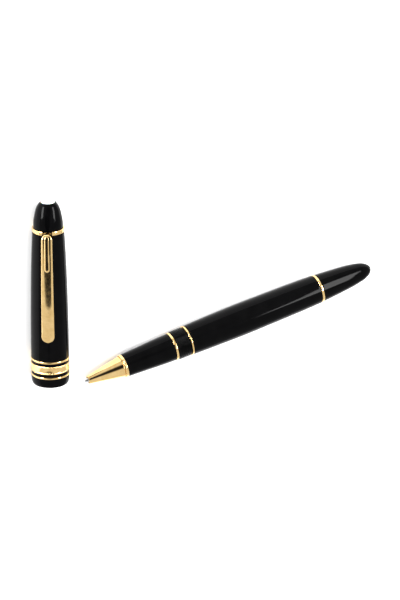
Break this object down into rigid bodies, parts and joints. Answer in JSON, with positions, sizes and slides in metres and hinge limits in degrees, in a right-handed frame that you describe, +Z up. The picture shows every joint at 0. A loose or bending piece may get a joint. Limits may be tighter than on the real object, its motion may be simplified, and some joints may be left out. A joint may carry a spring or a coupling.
{
  "type": "rollerball pen",
  "caption": "Screw-cap rollerball pen lying open: tapered dark body with a metal nose cone, refill and spring, and its cap with rings, a domed crown and a spring clip.",
  "frame": {"origin": "bottom centre of the bounding box of both halves, on the surface that they lie on", "axes": "+X along the pen body from the writing point to the tail, +Z up from the surface, +Y towards the cap's crown"},
  "size_m": [0.1322, 0.0766, 0.0147],
  "materials": {
    "black_resin": "polished black resin",
    "gold_trim": "polished gold plating",
    "brass": "turned, unplated",
    "steel": "drawn and ground",
    "ivory_inlay": "polished",
    "white_plastic": "moulded, satin",
    "black_plastic": "moulded, satin",
    "ink_fibre": "ink-soaked fibre"
  },
  "bodies": {
    "barrel": {"nose_cone": "gold_trim", "nose_trim_ring": "gold_trim", "front_section": "black_resin", "front_trim_ring": "gold_trim", "thread_collar": "black_resin", "middle_trim_ring": "gold_trim", "barrel_shell": "black_resin", "barrel_liner": "brass", "rear_thread_insert": "brass"},
    "spring_unit": {"refill_spring": "steel", "spring_seat": "white_plastic"},
    "tail": {"rear_trim_ring": "gold_trim", "tail_stud": "brass", "tail_cap": "black_resin"},
    "refill": {"refill_tip": "steel", "refill_nose": "black_plastic", "refill_tube": "white_plastic", "ink_wick": "ink_fibre", "refill_plug": "black_plastic"},
    "ball": {"writing_ball": "steel"},
    "cap": {"cap_lip": "black_resin", "lower_thin_ring": "gold_trim", "lower_spacer": "black_resin", "wide_band": "gold_trim", "upper_spacer": "black_resin", "upper_thin_ring": "gold_trim", "cap_shell": "black_resin", "cap_thread_insert": "brass", "inner_cap": "black_plastic", "crown_bush": "brass", "clip_ring": "gold_trim", "finial": "black_resin", "finial_inlay": "ivory_inlay", "finial_stud": "brass"},
    "clip": {"clip": "gold_trim"}
  },
  "joints": [
    {"name": "cap_lift", "type": "slide", "parent": "barrel", "child": "cap", "axis": [0, 0, 1], "range_m": [0, 0.06]},
    {"name": "clip_flex", "type": "hinge", "parent": "cap", "child": "clip", "pos_m": [-0.04994, 0.0285, 0.01069], "axis": [-0.874, 0.189, -0.4477], "range_deg": [0, 4], "stiffness_Nm_per_rad": 2.3},
    {"name": "tail_advance", "type": "slide", "parent": "barrel", "child": "spring_unit", "axis": [1, 0, 0], "range_m": [0, 0.0045]},
    {"name": "tail_turn", "type": "hinge", "parent": "spring_unit", "child": "tail", "pos_m": [0.04493, -0.03259, 0.00575], "axis": [1, 0, 0], "range_deg": [0, 1621]},
    {"name": "refill_press", "type": "slide", "parent": "barrel", "child": "refill", "axis": [1, 0, 0], "range_m": [0, 0.0006], "stiffness_N_per_m": 600, "springref_m": -0.002, "deforming": ["refill_spring"]},
    {"name": "ball_roll", "type": "hinge", "parent": "refill", "child": "ball", "pos_m": [-0.04737, -0.03259, 0.00575], "axis": [0, 1, 0], "continuous": true}
  ],
  "couplings": [
    {"joint": "tail_turn", "follows": "tail_advance", "rad_per_m": 6283.2}
  ]
}
